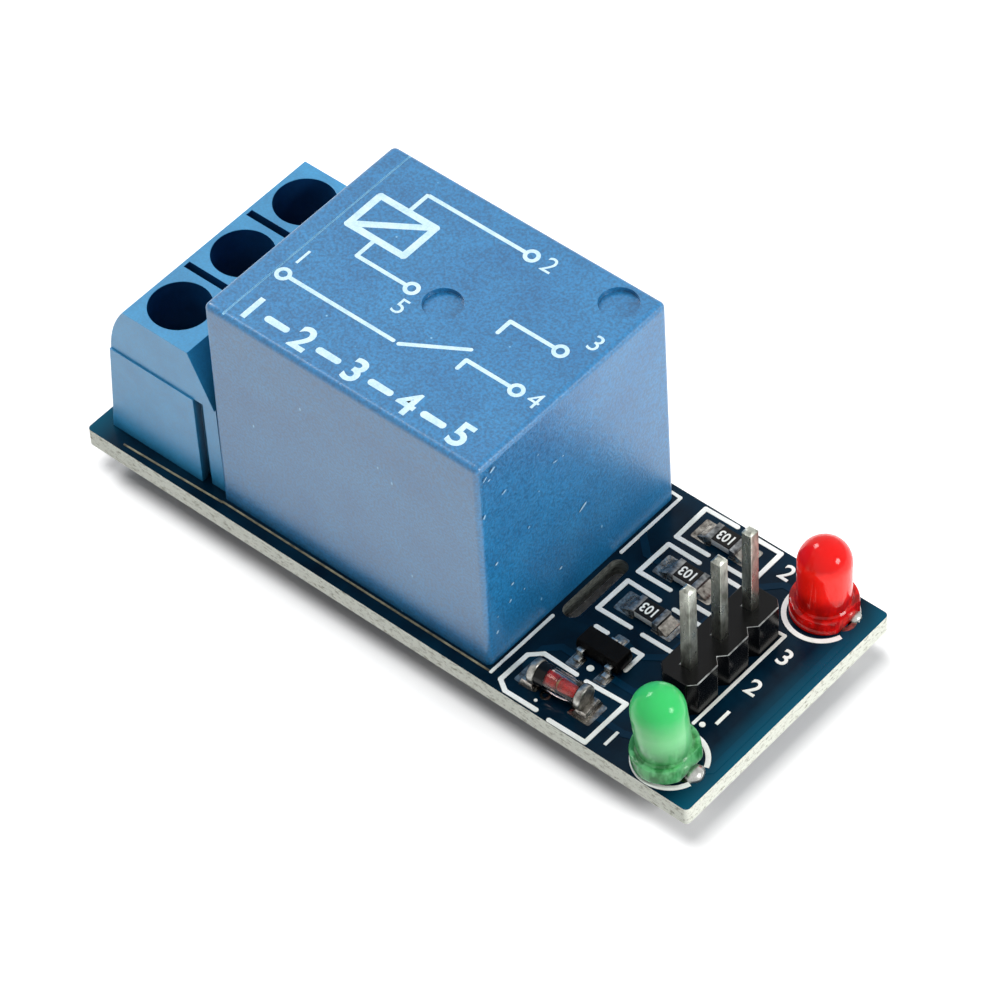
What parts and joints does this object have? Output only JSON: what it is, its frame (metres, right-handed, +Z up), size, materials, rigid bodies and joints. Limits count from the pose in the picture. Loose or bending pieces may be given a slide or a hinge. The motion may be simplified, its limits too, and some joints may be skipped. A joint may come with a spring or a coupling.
{
  "type": "relay module board",
  "caption": "Circuit board with a sealed cube relay, screw terminals for wires, indicator lamps, small surface parts and a pin header.",
  "frame": {"origin": "under the middle of the board, at the level of the trimmed solder tails it stands on", "axes": "+X along the board from the wire terminals to the pin header, +Y across it, +Z up"},
  "size_m": [0.0428, 0.017, 0.0184],
  "materials": {
    "board_mask": "glossy solder mask over glass epoxy, pale raw edges",
    "solder": "bright tin solder",
    "relay_shell": "moulded, fine spark texture, semi gloss",
    "relay_floor": "moulded, matte",
    "resin": "cast sealing resin",
    "bobbin_plastic": "moulded, matte",
    "copper": "enamelled copper wire winding",
    "soft_iron": "zinc plated soft iron",
    "spring_bronze": "rolled bronze strip",
    "contact_silver": "silver contact",
    "tinned_brass": "tinned brass strip",
    "terminal_shell": "moulded, satin",
    "zinc_steel": "zinc plated steel, dull, warm",
    "header_plastic": "moulded black, semi gloss",
    "header_tin": "bright tinned square pin",
    "green_lens": "cast diffused green epoxy",
    "red_lens": "cast diffused red epoxy",
    "lead_steel": "tinned steel lead",
    "die_crystal": "semiconductor chip",
    "alumina": "white alumina",
    "resistor_glaze": "black glaze with a plain number",
    "tin_ends": "plated nickel and tin ends",
    "sleeve_glass": "clear glass sleeve, dark band at one end",
    "plug_copper": "copper clad plug, red through the glass",
    "transistor_epoxy": "moulded black epoxy"
  },
  "bodies": {
    "board": {"circuit_board": "board_mask", "solder_joints": "solder", "surface_solder": "solder", "diode_solder": "solder", "relay_cover": "relay_shell", "relay_base": "relay_floor", "relay_seal": "resin", "relay_bobbin": "bobbin_plastic", "relay_coil": "copper", "relay_core": "soft_iron", "relay_yoke": "soft_iron", "relay_fixed_contacts": "contact_silver", "relay_no_terminal": "tinned_brass", "relay_nc_terminal": "tinned_brass", "relay_com_terminal": "tinned_brass", "relay_coil_terminals": "tinned_brass", "terminal_housing": "terminal_shell", "header_body": "header_plastic", "green_led_lens": "green_lens", "red_led_lens": "red_lens", "diode_glass": "sleeve_glass", "diode_plugs": "plug_copper", "diode_die": "die_crystal", "diode_caps": "tin_ends", "transistor_body": "transistor_epoxy", "transistor_leads": "tin_ends", "green_led_anode": "lead_steel", "green_led_cathode": "lead_steel", "green_led_die": "die_crystal", "red_led_anode": "lead_steel", "red_led_cathode": "lead_steel", "red_led_die": "die_crystal", "terminal_clip_1": "tinned_brass", "header_pin_1": "header_tin", "resistor_1_chip": "alumina", "resistor_1_coat": "resistor_glaze", "resistor_1_ends": "tin_ends", "terminal_clip_2": "tinned_brass", "header_pin_2": "header_tin", "resistor_2_chip": "alumina", "resistor_2_coat": "resistor_glaze", "resistor_2_ends": "tin_ends", "terminal_clip_3": "tinned_brass", "header_pin_3": "header_tin", "resistor_3_chip": "alumina", "resistor_3_coat": "resistor_glaze", "resistor_3_ends": "tin_ends"},
    "armature": {"relay_armature": "soft_iron", "relay_contact_spring": "spring_bronze", "relay_moving_contact": "contact_silver"},
    "screw_1": {"terminal_screw_1": "zinc_steel"},
    "guard_1": {"terminal_guard_1": "zinc_steel"},
    "screw_2": {"terminal_screw_2": "zinc_steel"},
    "guard_2": {"terminal_guard_2": "zinc_steel"},
    "screw_3": {"terminal_screw_3": "zinc_steel"},
    "guard_3": {"terminal_guard_3": "zinc_steel"}
  },
  "joints": [
    {"name": "relay_armature_rock", "type": "hinge", "parent": "board", "child": "armature", "pos_m": [0.0047, 0.00015, 0.014], "axis": [0, -1, 0], "range_deg": [0, 2], "stiffness_Nm_per_rad": 0.001, "springref_deg": -6.88},
    {"name": "guard_1_travel", "type": "slide", "parent": "board", "child": "guard_1", "axis": [0, 0, 1], "range_m": [0, 0.00225]},
    {"name": "screw_1_turn", "type": "hinge", "parent": "guard_1", "child": "screw_1", "pos_m": [-0.0164, -0.00495, 0.0087], "axis": [0, 0, 1], "range_deg": [0, 1800.5]},
    {"name": "guard_2_travel", "type": "slide", "parent": "board", "child": "guard_2", "axis": [0, 0, 1], "range_m": [0, 0.00225]},
    {"name": "screw_2_turn", "type": "hinge", "parent": "guard_2", "child": "screw_2", "pos_m": [-0.0164, 0.00005, 0.0087], "axis": [0, 0, 1], "range_deg": [0, 1800.5]},
    {"name": "guard_3_travel", "type": "slide", "parent": "board", "child": "guard_3", "axis": [0, 0, 1], "range_m": [0, 0.00225]},
    {"name": "screw_3_turn", "type": "hinge", "parent": "guard_3", "child": "screw_3", "pos_m": [-0.0164, 0.00505, 0.0087], "axis": [0, 0, 1], "range_deg": [0, 1800.5]}
  ],
  "couplings": [
    {"joint": "screw_1_turn", "follows": "guard_1_travel", "rad_per_m": 13963},
    {"joint": "screw_2_turn", "follows": "guard_2_travel", "rad_per_m": 13963},
    {"joint": "screw_3_turn", "follows": "guard_3_travel", "rad_per_m": 13963}
  ]
}
